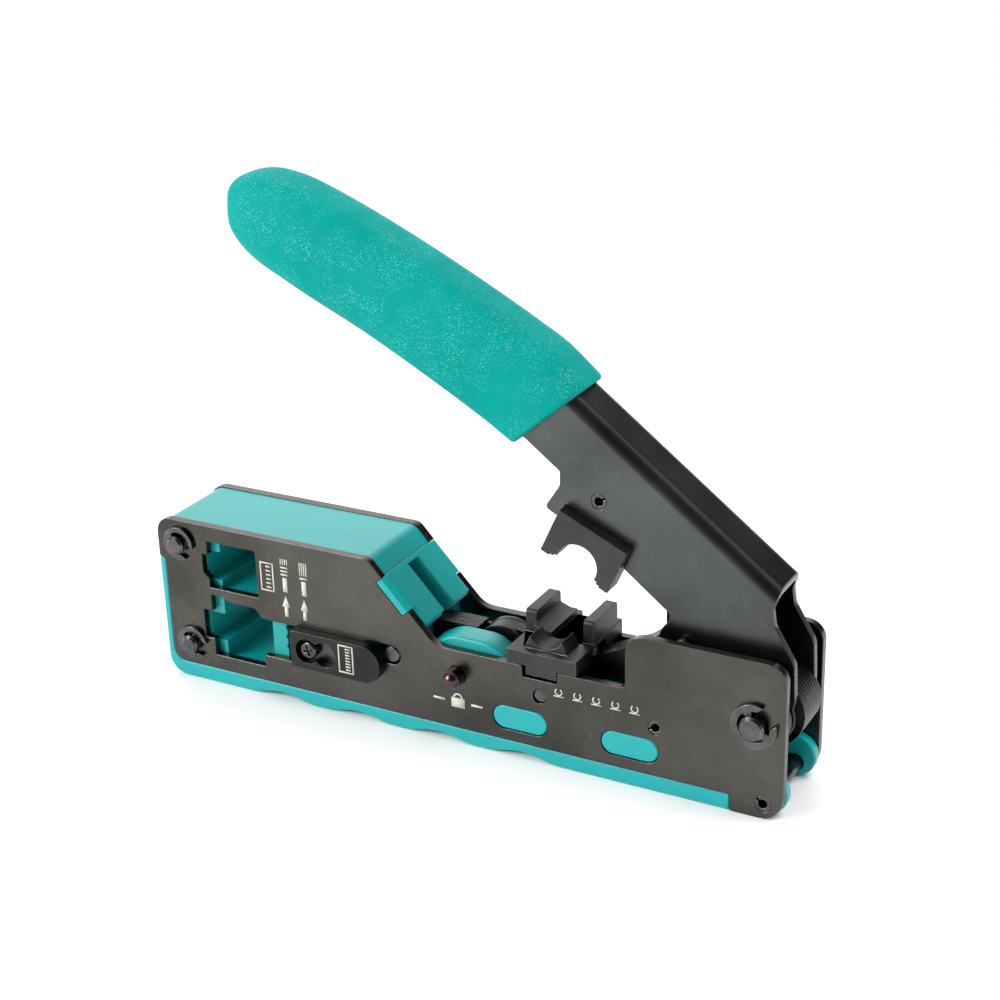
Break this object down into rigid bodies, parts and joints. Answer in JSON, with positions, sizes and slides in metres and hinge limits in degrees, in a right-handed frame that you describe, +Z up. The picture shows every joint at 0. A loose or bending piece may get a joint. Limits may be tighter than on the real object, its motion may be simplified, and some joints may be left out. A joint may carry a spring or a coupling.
{
  "type": "modular plug crimping tool",
  "caption": "Compact compound-action crimping tool for modular plugs, with port block, stripping slot, clip punch, lock pin and hinged sleeved handle.",
  "frame": {"origin": "on the flat resting face of the lower grip, midway between the two body plates, 22 mm from the handle pivot", "axes": "+X from the head towards the pivot end along the body, +Z up towards the handle, -Y out of the face with the slider"},
  "size_m": [0.1415, 0.0273, 0.1114],
  "materials": {
    "plate": "gunmetal, semi-gloss",
    "block": "teal moulded, fine texture",
    "lower_grip": "teal soft moulding",
    "handle_grip": "teal soft sleeve",
    "channel": "gunmetal, semi-gloss",
    "jaw": "black oxide, matt",
    "slider": "dark, satin",
    "sheets": "blackened sheet, satin",
    "die": "ground steel",
    "blade": "ground steel",
    "spring": "drawn wire",
    "pin": "plated steel"
  },
  "bodies": {
    "frame": {"front_plate": "plate", "rear_plate": "plate", "port_block": "block", "lower_grip": "lower_grip", "lock_housing": "block", "rear_spacer": "block", "head_pins": "pin", "head_clips": "pin", "pivot_pin": "pin", "pivot_clips": "pin", "pivot_spacers": "pin", "anvil_dowels": "pin", "stop_pin": "pin", "corner_pin": "pin", "clip_anvil": "jaw", "return_spring": "spring", "strip_blade": "blade", "slider_screw": "pin"},
    "slider": {"slider_plate": "slider"},
    "lock": {"lock_pin": "pin"},
    "ram": {"ram_plates": "sheets", "ram_pin": "pin", "ram_guide_pin": "pin", "big_die": "die", "small_die": "die", "trim_blade": "blade", "blade_screws": "pin"},
    "link": {"push_link": "sheets"},
    "handle": {"lever_plates": "sheets", "link_pin": "pin", "handle_channel": "channel", "handle_grip": "handle_grip", "clip_punch": "jaw", "punch_pin": "pin"}
  },
  "joints": [
    {"name": "handle_pivot", "type": "hinge", "parent": "frame", "child": "handle", "pos_m": [0.022, 0, 0.0194], "axis": [0, -1, 0], "range_deg": [0, 25]},
    {"name": "ram_slide", "type": "slide", "parent": "frame", "child": "ram", "axis": [-1, 0, 0], "range_m": [0, 0.00443]},
    {"name": "link_pivot", "type": "hinge", "parent": "ram", "child": "link", "pos_m": [-0.0344, 0, 0.0178], "axis": [0, -1, 0], "range_deg": [-10.49, 0]},
    {"name": "slider_slide", "type": "slide", "parent": "frame", "child": "slider", "axis": [1, 0, 0], "range_m": [-0.0042, 0]},
    {"name": "lock_push", "type": "slide", "parent": "frame", "child": "lock", "axis": [0, 1, 0], "range_m": [0, 0.003]}
  ],
  "couplings": [
    {"joint": "ram_slide", "follows": "handle_pivot", "m_per_rad": 0.01015},
    {"joint": "link_pivot", "follows": "handle_pivot", "ratio": -0.41954}
  ]
}
